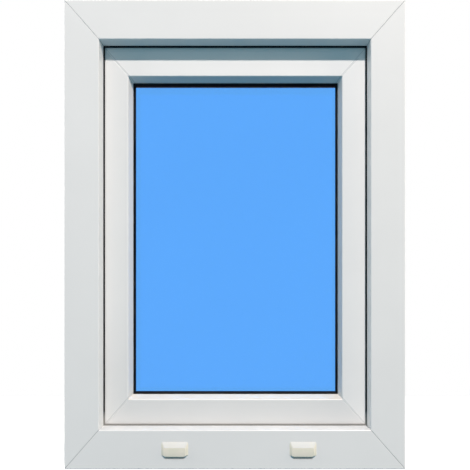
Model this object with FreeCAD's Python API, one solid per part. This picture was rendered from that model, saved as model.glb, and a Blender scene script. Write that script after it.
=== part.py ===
import FreeCAD, Part
import math
import os

os.makedirs("parts", exist_ok=True)

# A tilt and turn window of white plastic profiles, in millimetres.
# X runs to the right seen from outside, Y from outside into the room, Z up.
# The origin is the middle of the frame's underside.
# Sections are drawn in u, from the frame's wall side towards the opening,
# and v, from the frame's outside face into the room.
# Widths along u are those of the rails: the head, the sill and the sash's two rails.
# The upright sides are slimmer by stile_ratio, with the seals, beads and grooves in them.

# Window
frame_width = 545.0
frame_height = 750.0
stile_ratio = 0.88

# Walls of the plastic profiles
wall = 2.8
web = 2.0
face_radius = 2.0
edge_radius = 1.2
seam_width = 1.6
seam_depth = 0.5

# Frame profile
frame_depth = 70.0
frame_face = 62.5
frame_lip = 65.3
frame_reveal_depth = 18.2
frame_lip_depth = 20.5
frame_base = 45.0
frame_main_chamber = 28.0
channel_depth = 2.5
channel_width = 10.0
channel_ramp = 4.0
clip_mouth = 8.0
clip_floor = 11.0
clip_depth = 4.0
clip_inset = 16.0

# Seals and the grooves that hold their feet
groove_width = 3.5
groove_depth = 2.5
groove_from_tip = 2.5
foot_clearance = 0.15
seal_edge = 0.8
outer_seal_gap = 3.0
outer_seal_width = 9.0
outer_seal_beyond_lip = 2.5
overlap_seal_gap = 3.0
overlap_seal_width = 8.0
overlap_seal_inset = 1.0

# Sash profile
rebate_air = 12.0
sash_flange_thickness = 17.0
sash_face = 53.5
sash_lip = 59.4
sash_reveal_depth = 16.5
sash_lip_depth = 18.0
sash_base = 39.0
sash_overlap = 10.0
sash_drop = 3.2
sash_flange_radius = 5.0
hardware_plate_width = 16.0
hardware_plate_depth = 3.0
hardware_groove_width = 12.0
hardware_groove_depth = 9.0
hardware_from_flange = 5.0

# Glazing
pane_thickness = 4.0
pane_cavity = 16.0
packer_thickness = 5.0
packer_length = 100.0
packer_from_corner = 60.0
spacer_setback = 3.5
spacer_height = 6.5
spacer_chamfer = 2.5
glazing_gasket_gap = 4.0
glazing_gasket_width = 12.8
glazing_gasket_beyond_lip = 4.3
glazing_gasket_clearance = 0.1
bead_gasket_gap = 3.0
bead_gasket_width = 10.0
bead_gasket_beyond_tip = 2.5

# Glazing beads
bead_height = 14.0
bead_face = 8.5
bead_slope_depth = 12.0
bead_wall = 2.0
bead_foot_thickness = 4.4
bead_foot_depth = 5.5
bead_clearance = 0.3

# Drain caps and the slots behind them
drain_slot_length = 25.0
drain_slot_height = 5.0
drain_slot_level = 26.0
rebate_slot_offset = 60.0
drain_cap_left_place = -96.0
drain_cap_right_place = 109.0
drain_cap_width = 43.0
drain_cap_height = 23.2
drain_cap_level = 20.6
drain_cap_proud = 3.2
drain_cap_slope = 9.3
drain_cap_taper = 4.0
drain_cap_radius = 5.0
drain_cap_top_radius = 2.0
drain_cap_wall = 1.2
drain_tongue_width = 4.0
drain_tongue_reach = 6.0
drain_tongue_clearance = 0.3

# Fixing holes through the jambs
fixing_radius = 3.1
fixing_from_corner = 150.0

# Handle on the lock stile
handle_height = 375.0
handle_backset = 15.0
rosette_width = 30.0
rosette_length = 70.0
rosette_thickness = 11.0
rosette_corner = 9.0
rosette_edge = 3.0
collar_radius = 12.5
collar_height = 2.5
collar_edge = 0.8
collar_clearance = 0.3
lever_projection = 55.0
lever_head_radius = 10.5
lever_end_radius = 10.0
lever_length = 122.0
lever_thickness = 14.0
lever_end_thickness = 10.0
lever_edge = 3.0
neck_radius = 8.5
neck_flare = 1.5
neck_flare_length = 6.0

# Hinges on the hinge stile
hinge_axis_from_face = 12.0
hinge_radius = 8.0
hinge_edge = 1.5
hinge_gap = 0.5
hinge_plate_thickness = 4.0
hinge_plate_inset = 6.0
hinge_arm_thickness = 4.0
hinge_arm_length = 38.0
hinge_flange_clearance = 1.5
lower_hinge_level = 50.0
lower_hinge_frame_length = 36.0
lower_hinge_sash_length = 52.0
upper_hinge_from_top = 48.0
upper_hinge_frame_length = 42.0
upper_hinge_sash_length = 40.0

# Places that follow from the sizes above
seal_groove_end = frame_lip - groove_from_tip
seal_groove_start = seal_groove_end - groove_width
channel_floor = frame_base - channel_depth
sash_edge = frame_base + rebate_air
sash_front = frame_lip_depth + outer_seal_gap
sash_tip = sash_edge + sash_lip
sash_lip_back = sash_front + sash_lip_depth
glazing_base = sash_edge + sash_base
flange_edge = frame_base - sash_overlap
flange_front = frame_depth + overlap_seal_gap
sash_back = flange_front + sash_flange_thickness
gasket_groove_end = sash_tip - groove_from_tip - web
gasket_groove_start = gasket_groove_end - groove_width
overlap_groove_start = flange_edge + overlap_seal_inset + edge_radius
overlap_groove_end = overlap_groove_start + groove_width
plate_end = flange_front - hardware_from_flange
plate_start = plate_end - hardware_plate_width
groove_start = plate_start + (hardware_plate_width - hardware_groove_width) / 2
groove_end = groove_start + hardware_groove_width
plate_floor = sash_edge + hardware_plate_depth
groove_floor = plate_floor + hardware_groove_depth
glass_edge = glazing_base + packer_thickness
outer_pane_front = sash_lip_back + glazing_gasket_gap
cavity_front = outer_pane_front + pane_thickness
cavity_back = cavity_front + pane_cavity
inner_pane_back = cavity_back + pane_thickness
bead_front = inner_pane_back + bead_gasket_gap
bead_groove_start = bead_front - bead_clearance
bead_groove_end = bead_front + bead_foot_thickness + bead_clearance
bead_groove_floor = glazing_base - bead_foot_depth - bead_clearance
spacer_edge = glass_edge + spacer_setback
spacer_sight = spacer_edge + spacer_height
bead_tip = glazing_base + bead_height
stile_flange_edge = flange_edge * stile_ratio
hinge_axis_from_wall = stile_flange_edge - hinge_flange_clearance - hinge_radius

# How far each side of the window is turned from the bottom one, about Y
side_turn = {"bottom": 0, "left": 90, "top": 180, "right": 270}
along_y = FreeCAD.Vector(0, 1, 0)
middle = FreeCAD.Vector(0, 0, frame_height / 2)


def in_section(u, v):
    return FreeCAD.Vector(0, v - frame_depth / 2, u)


def in_face(x, z):
    return FreeCAD.Vector(x, 0, z)


def across(u, side):
    # A width of the rails as it is on that side of the window.
    return u * stile_ratio if side in ("left", "right") else u


def mitre_run(side):
    # How far a mitre runs along that side for each millimetre across it.
    return 1 / stile_ratio if side in ("left", "right") else stile_ratio


def outline(corners, plane):
    # Closed wire through the corners. A third number on a corner is its radius.
    starts = []
    ends = []
    arcs = []
    for index, corner in enumerate(corners):
        here = plane(corner[0], corner[1])
        radius = corner[2] if len(corner) == 3 else 0
        if radius == 0:
            starts.append(here)
            ends.append(here)
            arcs.append(None)
            continue
        previous = corners[index - 1]
        following = corners[(index + 1) % len(corners)]
        back = (plane(previous[0], previous[1]) - here).normalize()
        ahead = (plane(following[0], following[1]) - here).normalize()
        half_angle = back.getAngle(ahead) / 2
        trim = radius / math.tan(half_angle)
        inward = (back + ahead).normalize()
        crown = here + inward * (radius / math.sin(half_angle) - radius)
        starts.append(here + back * trim)
        ends.append(here + ahead * trim)
        arcs.append(Part.Arc(starts[-1], crown, ends[-1]).toShape())
    edges = []
    for index, end in enumerate(ends):
        if arcs[index]:
            edges.append(arcs[index])
        next_start = starts[(index + 1) % len(starts)]
        if end.distanceToPoint(next_start) > 1e-6:
            edges.append(Part.makeLine(end, next_start))
    return Part.Wire(edges)


def clipped(corners):
    # The corners of a seal. A third number on a corner is how much of it is cut off.
    points = []
    for index, corner in enumerate(corners):
        u, v = corner[:2]
        if len(corner) == 2:
            points.append((u, v))
            continue
        for other in (corners[index - 1], corners[(index + 1) % len(corners)]):
            share = corner[2] / math.hypot(other[0] - u, other[1] - v)
            points.append((u + (other[0] - u) * share, v + (other[1] - v) * share))
    return points


def chamber(u_low, u_high, v_low, v_high):
    return [(u_low, v_low), (u_high, v_low), (u_high, v_high), (u_low, v_high)]


def section(loops, side="bottom"):
    # The face of a profile on one side: its outline first, then its chambers.
    def on_side(u, v):
        return in_section(across(u, side), v)

    wires = [outline(loop, on_side) for loop in loops]
    return Part.makeFace(wires, "Part::FaceMakerBullseye")


def side_length(side):
    return frame_width if side in ("bottom", "top") else frame_height


def place(shape, side):
    # Turns a piece drawn along the bottom of the window to the side where it belongs.
    reach = frame_height if side in ("bottom", "top") else frame_width
    placed = shape.copy()
    placed.translate(FreeCAD.Vector(0, 0, -reach / 2))
    placed.rotate(FreeCAD.Vector(), along_y, side_turn[side])
    placed.translate(middle)
    return placed


def mitre_wedge(face, side):
    # The room between the two mitres of a member that is drawn along the bottom.
    spare = 1.0
    run = mitre_run(side)
    top = face.BoundBox.ZMax + spare
    half = side_length(side) / 2
    wire = Part.makePolygon([
        in_face(-half - spare * run, -spare),
        in_face(half + spare * run, -spare),
        in_face(half - top * run, top),
        in_face(top * run - half, top),
        in_face(-half - spare * run, -spare),
    ])
    wedge = Part.Face(wire).extrude(along_y * (face.BoundBox.YLength + 2 * spare))
    wedge.translate(along_y * (face.BoundBox.YMin - spare))
    return wedge


def straight(face, start, end):
    # A length of a section along the bottom of the window.
    moved = face.copy()
    moved.translate(FreeCAD.Vector(start, 0, 0))
    return moved.extrude(FreeCAD.Vector(end - start, 0, 0))


def weld_seams(side, faces):
    # Shallow grooves along both mitres of a member, where the weld was cleaned off.
    # Each face is its depth v, the way its groove goes in, and the stretch of u that it covers.
    cuts = []
    spare = 1.0
    run = mitre_run(side)
    half = seam_width / 2 * (seam_depth + spare) / seam_depth
    for depth, inward, low, high in faces:
        start_u = across(low, side)
        rise = across(high, side) - start_u
        for hand in (-1, 1):
            sideways = FreeCAD.Vector(hand, 0, run).normalize() * half
            end_x = hand * (side_length(side) / 2 - start_u * run)
            start = in_section(start_u, depth) + FreeCAD.Vector(end_x, 0, 0)
            rim = start - along_y * inward * spare
            floor = start + along_y * inward * seam_depth
            wire = Part.makePolygon([rim - sideways, rim + sideways, floor, rim - sideways])
            cuts.append(Part.Face(wire).extrude(FreeCAD.Vector(-hand * rise * run, 0, rise)))
    return cuts


def member(loops, side, seams=(), cuts=()):
    # One side of a mitred ring, with its weld seams and the cuts that were drawn along the bottom.
    spare = 1.0
    face = section(loops, side)
    half = side_length(side) / 2 + spare
    bar = straight(face, -half, half).common(mitre_wedge(face, side))
    tools = weld_seams(side, seams) + list(cuts)
    if tools:
        bar = bar.cut(tools)
    return place(bar.Solids[0], side)


def ring(loops):
    # A closed loop of one profile round all four sides.
    sides = [member(loops, side) for side in side_turn]
    return sides[0].fuse(sides[1:]).removeSplitter().Solids[0]


def frame_profile():
    front_end = frame_lip_depth - wall
    front_split = (clip_depth + wall + seal_groove_start - web) / 2
    main_start = front_end + web
    main_end = main_start + frame_main_chamber
    rear_start = main_end + web
    rear_end = frame_depth - wall
    rear_split = (rear_start + rear_end) / 2
    wall_side = clip_depth + wall
    corners = [
        (0, 0, edge_radius),
        (frame_face, 0, face_radius),
        (frame_lip, frame_reveal_depth),
        (frame_lip, frame_lip_depth),
        (seal_groove_end, frame_lip_depth),
        (seal_groove_end, frame_lip_depth - groove_depth),
        (seal_groove_start, frame_lip_depth - groove_depth),
        (seal_groove_start, frame_lip_depth),
        (channel_floor, frame_lip_depth),
        (channel_floor, frame_lip_depth + channel_width),
        (frame_base, frame_lip_depth + channel_width + channel_ramp),
        (frame_base, frame_depth, face_radius),
        (0, frame_depth, edge_radius),
    ]
    for centre in (frame_depth - clip_inset, clip_inset):
        corners += [
            (0, centre + clip_mouth / 2),
            (clip_depth, centre + clip_floor / 2),
            (clip_depth, centre - clip_floor / 2),
            (0, centre - clip_mouth / 2),
        ]
    chambers = [
        chamber(wall_side, front_split - web / 2, wall, front_end),
        chamber(front_split + web / 2, seal_groove_start - web, wall, front_end),
        chamber(wall_side, channel_floor - wall, main_start, main_end),
        chamber(wall_side, frame_base - wall, rear_start, rear_split - web / 2),
        chamber(wall_side, frame_base - wall, rear_split + web / 2, rear_end),
    ]
    return [corners] + chambers


def sash_profile():
    front_end = sash_lip_back - wall
    front_split = (sash_edge + wall + gasket_groove_start - web) / 2
    rear_start = flange_front + wall
    rear_low = overlap_groove_end + web
    rear_high = bead_groove_floor - web
    rear_split = (rear_low + rear_high) / 2
    corners = [
        (sash_edge, sash_front, edge_radius),
        (sash_edge + sash_face, sash_front, face_radius),
        (sash_tip, sash_front + sash_reveal_depth),
        (sash_tip, sash_lip_back),
        (gasket_groove_end, sash_lip_back),
        (gasket_groove_end, sash_lip_back - groove_depth),
        (gasket_groove_start, sash_lip_back - groove_depth),
        (gasket_groove_start, sash_lip_back),
        (glazing_base, sash_lip_back),
        (glazing_base, bead_groove_start),
        (bead_groove_floor, bead_groove_start),
        (bead_groove_floor, bead_groove_end),
        (glazing_base, bead_groove_end),
        (glazing_base, sash_back),
        (flange_edge, sash_back, sash_flange_radius),
        (flange_edge, flange_front, edge_radius),
        (overlap_groove_start, flange_front),
        (overlap_groove_start, flange_front + groove_depth),
        (overlap_groove_end, flange_front + groove_depth),
        (overlap_groove_end, flange_front),
        (sash_edge, flange_front),
        (sash_edge, plate_end),
        (plate_floor, plate_end),
        (plate_floor, groove_end),
        (groove_floor, groove_end),
        (groove_floor, groove_start),
        (plate_floor, groove_start),
        (plate_floor, plate_start),
        (sash_edge, plate_start),
    ]
    chambers = [
        chamber(sash_edge + wall, front_split - web / 2, sash_front + wall, front_end),
        chamber(front_split + web / 2, gasket_groove_start - web, sash_front + wall, front_end),
        chamber(sash_edge + wall, glazing_base - wall, front_end + web, plate_start - web),
        chamber(groove_floor + web, rear_high, plate_start, rear_start - web),
        chamber(rear_low, rear_split - web / 2, rear_start, sash_back - wall),
        chamber(rear_split + web / 2, rear_high, rear_start, sash_back - wall),
    ]
    return [corners] + chambers


def bead_profile():
    slope_start = sash_back - bead_slope_depth
    corners = [
        (glazing_base, sash_back),
        (glazing_base + bead_face, sash_back, face_radius),
        (bead_tip, slope_start, face_radius),
        (bead_tip, bead_front),
        (glazing_base - bead_foot_depth, bead_front),
        (glazing_base - bead_foot_depth, bead_front + bead_foot_thickness),
        (glazing_base, bead_front + bead_foot_thickness),
    ]
    hollow = chamber(
        glazing_base + bead_wall,
        glazing_base + bead_face - bead_wall / 2,
        bead_front + bead_wall,
        sash_back - bead_wall,
    )
    return [corners, hollow]


def outer_seal_profile():
    tip = frame_lip + outer_seal_beyond_lip
    foot_floor = frame_lip_depth - groove_depth + foot_clearance
    return [clipped([
        (seal_groove_start + foot_clearance, frame_lip_depth),
        (seal_groove_start + foot_clearance, foot_floor),
        (seal_groove_end - foot_clearance, foot_floor),
        (seal_groove_end - foot_clearance, frame_lip_depth),
        (tip, frame_lip_depth, seal_edge),
        (tip, sash_front, seal_edge),
        (tip - outer_seal_width, sash_front, seal_edge),
        (tip - outer_seal_width, frame_lip_depth),
    ])]


def overlap_seal_profile():
    low = flange_edge + overlap_seal_inset
    high = low + overlap_seal_width
    foot_floor = flange_front + groove_depth - foot_clearance
    return [clipped([
        (low, frame_depth, seal_edge),
        (high, frame_depth, seal_edge),
        (high, flange_front),
        (overlap_groove_end - foot_clearance, flange_front),
        (overlap_groove_end - foot_clearance, foot_floor),
        (overlap_groove_start + foot_clearance, foot_floor),
        (overlap_groove_start + foot_clearance, flange_front),
        (low, flange_front),
    ])]


def glazing_gasket_profile():
    tip = sash_tip + glazing_gasket_beyond_lip
    back = outer_pane_front - glazing_gasket_clearance
    foot_floor = sash_lip_back - groove_depth + foot_clearance
    return [clipped([
        (gasket_groove_start + foot_clearance, sash_lip_back),
        (gasket_groove_start + foot_clearance, foot_floor),
        (gasket_groove_end - foot_clearance, foot_floor),
        (gasket_groove_end - foot_clearance, sash_lip_back),
        (sash_tip + seal_edge, sash_lip_back),
        (tip, outer_pane_front - glazing_gasket_gap / 2, seal_edge),
        (tip, back),
        (tip - glazing_gasket_width, back),
        (tip - glazing_gasket_width, sash_lip_back),
    ])]


def bead_gasket_profile():
    tip = bead_tip + bead_gasket_beyond_tip
    return [clipped([
        (tip - bead_gasket_width, inner_pane_back),
        (tip, inner_pane_back),
        (tip, inner_pane_back + bead_gasket_gap / 2, seal_edge),
        (bead_tip + seal_edge, bead_front),
        (tip - bead_gasket_width, bead_front),
    ])]


def spacer_profile():
    shoulder = spacer_edge + spacer_chamfer
    return [[
        (spacer_edge, cavity_front + spacer_chamfer),
        (shoulder, cavity_front),
        (spacer_sight, cavity_front),
        (spacer_sight, cavity_back),
        (shoulder, cavity_back),
        (spacer_edge, cavity_back - spacer_chamfer),
    ]]


def sealant_profile():
    shoulder = spacer_edge + spacer_chamfer
    return [[
        (glass_edge, cavity_front),
        (shoulder, cavity_front),
        (spacer_edge, cavity_front + spacer_chamfer),
        (spacer_edge, cavity_back - spacer_chamfer),
        (shoulder, cavity_back),
        (glass_edge, cavity_back),
    ]]


def pane(front):
    width = frame_width - 2 * across(glass_edge, "left")
    height = frame_height - 2 * glass_edge
    corner = FreeCAD.Vector(-width / 2, front - frame_depth / 2, glass_edge)
    return Part.makeBox(width, pane_thickness, height, corner)


def packers():
    # The bottom corners carry the glass, the others keep it square in the sash.
    block = [chamber(glazing_base, glass_edge, outer_pane_front, inner_pane_back)]
    blocks = []
    for side in side_turn:
        pane_end = side_length(side) / 2 - across(glass_edge, side) * mitre_run(side)
        near_end = pane_end - packer_from_corner
        for start in (-near_end, near_end - packer_length):
            bar = straight(section(block, side), start, start + packer_length)
            blocks.append(place(bar, side))
    return Part.makeCompound(blocks)


def slot_cut(place_x, level, low_v, high_v):
    # A round-ended slot through the face of the sill.
    half = drain_slot_length / 2
    rise = drain_slot_height / 2
    wire = outline([
        (place_x - half, level - rise, rise),
        (place_x + half, level - rise, rise),
        (place_x + half, level + rise, rise),
        (place_x - half, level + rise, rise),
    ], in_face)
    cut = Part.Face(wire).extrude(along_y * (high_v - low_v))
    cut.translate(along_y * (low_v - frame_depth / 2))
    return cut


def sill_cuts():
    # Drain slots through the outside face, and slots from the rebate's channel beside them.
    spare = 1.0
    cuts = []
    for place_x in (drain_cap_left_place, drain_cap_right_place):
        cuts.append(slot_cut(place_x, drain_slot_level, -spare, wall + spare))
        inner_x = place_x - math.copysign(rebate_slot_offset, place_x)
        corner = in_section(channel_floor - wall - spare, frame_lip_depth + web)
        corner += FreeCAD.Vector(inner_x - drain_slot_length / 2, 0, 0)
        cuts.append(Part.makeBox(drain_slot_length, drain_slot_height, wall + 2 * spare, corner))
    return cuts


def jamb_cuts():
    # Fixing holes for frame screws, from the rebate straight out to the wall.
    spare = 1.0
    offset = frame_height / 2 - fixing_from_corner
    reach = across(frame_base, "left") + 2 * spare
    up = FreeCAD.Vector(0, 0, 1)
    return [
        Part.makeCylinder(fixing_radius, reach, FreeCAD.Vector(x, 0, -spare), up)
        for x in (-offset, offset)
    ]


def cap_outline(inset, at_front):
    # The drain cap seen from outside, on the frame's face or at its own smaller front.
    half = drain_cap_width / 2 - inset
    low = drain_cap_level + inset
    high = drain_cap_level + drain_cap_height - inset
    depth = 0
    if at_front:
        half -= drain_cap_taper
        high -= drain_cap_slope
        depth = inset - drain_cap_proud
    top_radius = max(drain_cap_top_radius - inset, 0)
    wire = outline([
        (-half, low, drain_cap_radius - inset),
        (half, low, drain_cap_radius - inset),
        (half, high, top_radius),
        (-half, high, top_radius),
    ], in_face)
    wire.translate(along_y * (depth - frame_depth / 2))
    return wire


def drain_cap(place_x):
    # A hollow hood with sloping sides and top and a mouth below, held by two tongues in the slot.
    spare = 1.0
    outside, inside = [
        Part.makeLoft([cap_outline(inset, False), cap_outline(inset, True)], True, True)
        for inset in (0, drain_cap_wall)
    ]
    mouth_half = drain_cap_width / 2 - drain_cap_taper - drain_cap_radius
    front_back = drain_cap_wall - drain_cap_proud
    mouth = section([chamber(
        drain_cap_level - spare, drain_cap_level + drain_cap_wall + spare, front_back, 0)])
    hood = outside.cut([inside, straight(mouth, -mouth_half, mouth_half)]).Solids[0]
    rise = drain_slot_height / 2 - drain_tongue_clearance
    tongue = section([chamber(
        drain_slot_level - rise, drain_slot_level + rise, front_back, drain_tongue_reach)])
    tongue_end = drain_slot_length / 2 - drain_slot_height / 2
    tongue_start = tongue_end - drain_tongue_width
    hood = hood.fuse([
        straight(tongue, -tongue_end, -tongue_start),
        straight(tongue, tongue_start, tongue_end),
    ]).removeSplitter().Solids[0]
    hood.translate(FreeCAD.Vector(place_x, 0, 0))
    return hood


def handle_place():
    x = -frame_width / 2 + across(plate_floor, "left") + handle_backset
    return FreeCAD.Vector(x, sash_back - frame_depth / 2, handle_height)


def handle_rosette():
    # A plate with round corners and a collar in which the lever's neck turns.
    half = rosette_width / 2
    rise = rosette_length / 2
    wire = outline([
        (-half, -rise, rosette_corner),
        (half, -rise, rosette_corner),
        (half, rise, rosette_corner),
        (-half, rise, rosette_corner),
    ], in_face)
    plate = Part.Face(wire).extrude(along_y * rosette_thickness)
    rim = [e for e in plate.Edges if e.BoundBox.YMin > rosette_thickness - 1e-3]
    plate = plate.makeChamfer(rosette_edge, rim)
    bore = neck_radius + collar_clearance
    collar_top = rosette_thickness + collar_height
    collar_wire = Part.makePolygon([
        FreeCAD.Vector(bore, rosette_thickness, 0),
        FreeCAD.Vector(collar_radius, rosette_thickness, 0),
        FreeCAD.Vector(collar_radius, collar_top - collar_edge, 0),
        FreeCAD.Vector(collar_radius - collar_edge, collar_top, 0),
        FreeCAD.Vector(bore, collar_top, 0),
        FreeCAD.Vector(bore, rosette_thickness, 0),
    ])
    collar = Part.Face(collar_wire).revolve(FreeCAD.Vector(), along_y, 360)
    rosette = plate.fuse(collar).removeSplitter().Solids[0]
    rosette.translate(handle_place())
    return rosette


def lever_outline():
    # Round head about the neck, straight sides and a round end, seen from the room.
    end_z = lever_head_radius + lever_end_radius - lever_length
    lean = math.asin((lever_head_radius - lever_end_radius) / -end_z)
    right = FreeCAD.Vector(math.cos(lean), 0, -math.sin(lean))
    left = FreeCAD.Vector(-right.x, 0, right.z)
    top = FreeCAD.Vector(0, 0, lever_head_radius)
    end_centre = in_face(0, end_z)
    bottom = in_face(0, end_z - lever_end_radius)
    head = Part.Arc(left * lever_head_radius, top, right * lever_head_radius)
    end = Part.Arc(end_centre + right * lever_end_radius, bottom, end_centre + left * lever_end_radius)
    return Part.Wire([
        head.toShape(),
        Part.makeLine(right * lever_head_radius, end_centre + right * lever_end_radius),
        end.toShape(),
        Part.makeLine(end_centre + left * lever_end_radius, left * lever_head_radius),
    ])


def handle_lever():
    # A hanging bar that thins towards its end, on a round neck that flares under it.
    spare = 1.0
    grip_back = lever_projection - lever_thickness
    bar = Part.Face(lever_outline()).extrude(along_y * lever_thickness)
    bar.translate(along_y * grip_back)
    end_z = lever_head_radius - lever_length
    thinned = grip_back + lever_thickness - lever_end_thickness
    side = lever_head_radius + spare
    wedge = Part.Face(Part.makePolygon([
        FreeCAD.Vector(-side, grip_back, -lever_head_radius),
        FreeCAD.Vector(-side, thinned, end_z),
        FreeCAD.Vector(-side, thinned, end_z - spare),
        FreeCAD.Vector(-side, grip_back - spare, end_z - spare),
        FreeCAD.Vector(-side, grip_back - spare, -lever_head_radius),
        FreeCAD.Vector(-side, grip_back, -lever_head_radius),
    ])).extrude(FreeCAD.Vector(2 * side, 0, 0))
    bar = bar.cut(wedge).Solids[0]
    rim = [e for e in bar.Edges if e.BoundBox.YMin > lever_projection - 1e-3]
    bar = bar.makeFillet(lever_edge, rim)
    flare_start = grip_back - neck_flare_length
    neck_wire = Part.makePolygon([
        FreeCAD.Vector(0, rosette_thickness, 0),
        FreeCAD.Vector(neck_radius, rosette_thickness, 0),
        FreeCAD.Vector(neck_radius, flare_start, 0),
        FreeCAD.Vector(neck_radius + neck_flare, grip_back, 0),
        FreeCAD.Vector(neck_radius + neck_flare, grip_back + spare, 0),
        FreeCAD.Vector(0, grip_back + spare, 0),
        FreeCAD.Vector(0, rosette_thickness, 0),
    ])
    neck = Part.Face(neck_wire).revolve(FreeCAD.Vector(), along_y, 360)
    lever = bar.fuse(neck).removeSplitter().Solids[0]
    lever.translate(handle_place())
    return lever


def hinge_barrel(low, high):
    axis = in_section(hinge_axis_from_wall, frame_depth + hinge_axis_from_face)
    axis += FreeCAD.Vector(low, 0, 0)
    barrel = Part.makeCylinder(hinge_radius, high - low, axis, FreeCAD.Vector(1, 0, 0))
    return barrel.makeChamfer(hinge_edge, [barrel.Edges[0], barrel.Edges[2]])


def hinge_frame_part(low, high):
    # A plate on the frame's inside face with a barrel standing on it.
    axis_v = frame_depth + hinge_axis_from_face
    plate = section([[
        (hinge_plate_inset, frame_depth),
        (hinge_axis_from_wall + hinge_radius, frame_depth),
        (hinge_axis_from_wall + hinge_radius, axis_v),
        (hinge_axis_from_wall - hinge_radius, axis_v),
        (hinge_axis_from_wall - hinge_radius, frame_depth + hinge_plate_thickness),
        (hinge_plate_inset, frame_depth + hinge_plate_thickness, edge_radius),
    ]])
    body = straight(plate, low, high).fuse(hinge_barrel(low, high))
    return place(body.removeSplitter().Solids[0], "right")


def hinge_sash_part(low, high):
    # A barrel whose arm turns over the sash's flange and lies on its inside face.
    axis_v = frame_depth + hinge_axis_from_face
    arm_top = sash_back + hinge_arm_thickness
    inner = stile_flange_edge - hinge_flange_clearance
    arm_end = stile_flange_edge + hinge_arm_length
    arm = section([[
        (hinge_axis_from_wall, axis_v),
        (inner, axis_v),
        (inner, sash_back),
        (arm_end, sash_back),
        (arm_end, arm_top, edge_radius),
        (hinge_axis_from_wall, arm_top, edge_radius * 2),
    ]])
    body = straight(arm, low, high).fuse(hinge_barrel(low, high))
    return place(body.removeSplitter().Solids[0], "right")


pieces = {}

# Frame
frame_seams = [(0, 1, 0, frame_face), (frame_depth, -1, 0, frame_base)]
frame_sides = {
    "frame_sill": ("bottom", sill_cuts()),
    "frame_jamb_left": ("left", jamb_cuts()),
    "frame_head": ("top", []),
    "frame_jamb_right": ("right", jamb_cuts()),
}
for name, (side, cuts) in frame_sides.items():
    pieces[name] = member(frame_profile(), side, frame_seams, cuts)
pieces["frame_outer_seal"] = ring(outer_seal_profile())
pieces["drain_cap_left"] = drain_cap(drain_cap_left_place)
pieces["drain_cap_right"] = drain_cap(drain_cap_right_place)

# Sash, which hangs a little low in the frame with all that is glazed into it
hung = {}
sash_seams = [
    (sash_front, 1, sash_edge, sash_edge + sash_face),
    (sash_back, -1, flange_edge, glazing_base),
]
sash_sides = {
    "sash_bottom_rail": "bottom",
    "sash_lock_stile": "left",
    "sash_top_rail": "top",
    "sash_hinge_stile": "right",
}
for name, side in sash_sides.items():
    hung[name] = member(sash_profile(), side, sash_seams)
hung["sash_overlap_seal"] = ring(overlap_seal_profile())

# Glazing
hung["outer_pane"] = pane(outer_pane_front)
hung["inner_pane"] = pane(cavity_back)
hung["spacer"] = ring(spacer_profile())
hung["edge_sealant"] = ring(sealant_profile())
hung["glazing_packers"] = packers()
hung["glazing_gasket"] = ring(glazing_gasket_profile())
hung["bead_gasket"] = ring(bead_gasket_profile())
for side in side_turn:
    hung["glazing_bead_" + side] = member(bead_profile(), side)
for shape in hung.values():
    shape.translate(FreeCAD.Vector(0, 0, -sash_drop))
pieces.update(hung)

# Handle
pieces["handle_rosette"] = handle_rosette()
pieces["handle_lever"] = handle_lever()

# Hinges, with heights measured from the middle of the jamb
lower_start = lower_hinge_level - frame_height / 2
lower_split = lower_start + lower_hinge_frame_length
upper_end = frame_height / 2 - upper_hinge_from_top
upper_split = upper_end - upper_hinge_frame_length
pieces["lower_hinge_frame_part"] = hinge_frame_part(lower_start, lower_split)
pieces["lower_hinge_sash_part"] = hinge_sash_part(
    lower_split + hinge_gap, lower_split + hinge_gap + lower_hinge_sash_length)
pieces["upper_hinge_frame_part"] = hinge_frame_part(upper_split, upper_end)
pieces["upper_hinge_sash_part"] = hinge_sash_part(
    upper_split - hinge_gap - upper_hinge_sash_length, upper_split - hinge_gap)

for name, shape in pieces.items():
    shape.exportStep("parts/" + name + ".step")
    print(name, len(shape.Solids), shape.isValid(), round(shape.Volume))
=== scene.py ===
import math
import bmesh
import bpy
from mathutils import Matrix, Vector


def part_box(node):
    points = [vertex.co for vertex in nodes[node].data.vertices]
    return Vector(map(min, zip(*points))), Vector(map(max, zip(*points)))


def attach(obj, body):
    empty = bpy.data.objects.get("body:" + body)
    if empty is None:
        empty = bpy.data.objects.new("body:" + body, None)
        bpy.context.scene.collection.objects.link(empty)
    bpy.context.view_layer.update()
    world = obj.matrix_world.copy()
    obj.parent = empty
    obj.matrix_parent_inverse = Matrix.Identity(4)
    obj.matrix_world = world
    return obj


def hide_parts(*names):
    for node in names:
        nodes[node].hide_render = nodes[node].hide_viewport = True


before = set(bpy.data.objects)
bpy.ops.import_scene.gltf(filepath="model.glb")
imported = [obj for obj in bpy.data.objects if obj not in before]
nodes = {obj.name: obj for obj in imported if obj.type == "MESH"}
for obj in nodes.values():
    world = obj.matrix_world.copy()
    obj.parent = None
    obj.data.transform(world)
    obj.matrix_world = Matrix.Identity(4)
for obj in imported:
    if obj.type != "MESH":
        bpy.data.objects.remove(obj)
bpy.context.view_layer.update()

mm = 0.001
alongX, alongY, alongZ = range(3)

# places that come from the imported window
sillLow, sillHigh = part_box("frame_sill")
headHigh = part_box("frame_head")[1]
jambLow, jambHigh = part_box("frame_jamb_left")
halfWidth = sillHigh.x
halfHeight = headHigh.z / 2
outsideFace = sillLow.y
frameBack = sillHigh.y
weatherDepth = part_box("outer_pane")[0].y  # what lies in front of the glass is out in the weather
slope = (jambHigh.x - jambLow.x) / (sillHigh.z - sillLow.z)  # stiles are slimmer than rails
capNodes = ["drain_cap_left", "drain_cap_right"]
print("frame loaded:", len(nodes), "nodes")


# shared shader effects

effectLook = {
    "noiseSpan": (0.3, 0.7),   # the part of a noise that is spread over the full range
    "dustAndShadeSpan": (0.25, 0.65),
    "dustAndShadeThin": 0.7,           # what is left of the dust and painted shade where it is thinnest
}


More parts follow.
